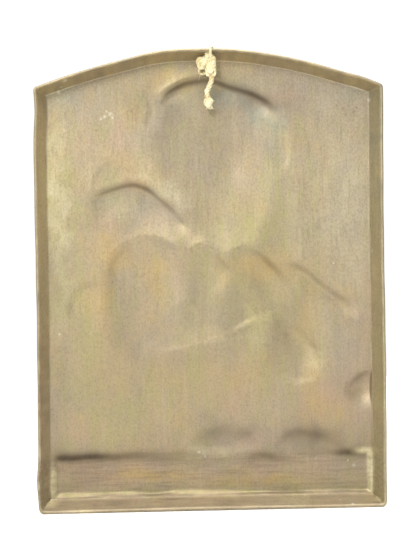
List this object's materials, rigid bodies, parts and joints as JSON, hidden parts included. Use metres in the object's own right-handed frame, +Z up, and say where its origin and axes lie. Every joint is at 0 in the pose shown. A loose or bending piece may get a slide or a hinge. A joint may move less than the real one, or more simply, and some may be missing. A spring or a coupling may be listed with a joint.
{
  "type": "decorative wall plaque",
  "caption": "Arch-topped wall plaque of pressed brass sheet: figures in relief, a flared rim turned back to the wall and a knotted hanging string.",
  "frame": {"origin": "hanging point: the top of the rim's back edge, in the middle, where the string passes over it", "axes": "+Z up the plaque, +Y out of its back towards the wall, so the relief faces -Y; the wall is the plane y = 0"},
  "size_m": [0.212, 0.0214, 0.283],
  "materials": {
    "patinated_brass": "old brass sheet, satin and streaked, with an olive to brown patina",
    "natural_string": "pale natural twine, soft and hairy"
  },
  "bodies": {
    "root": {"plaque_sheet": "patinated_brass", "string_loop": "natural_string", "string_knot": "natural_string", "string_tail": "natural_string", "tail_knot": "natural_string"}
  },
  "joints": []
}
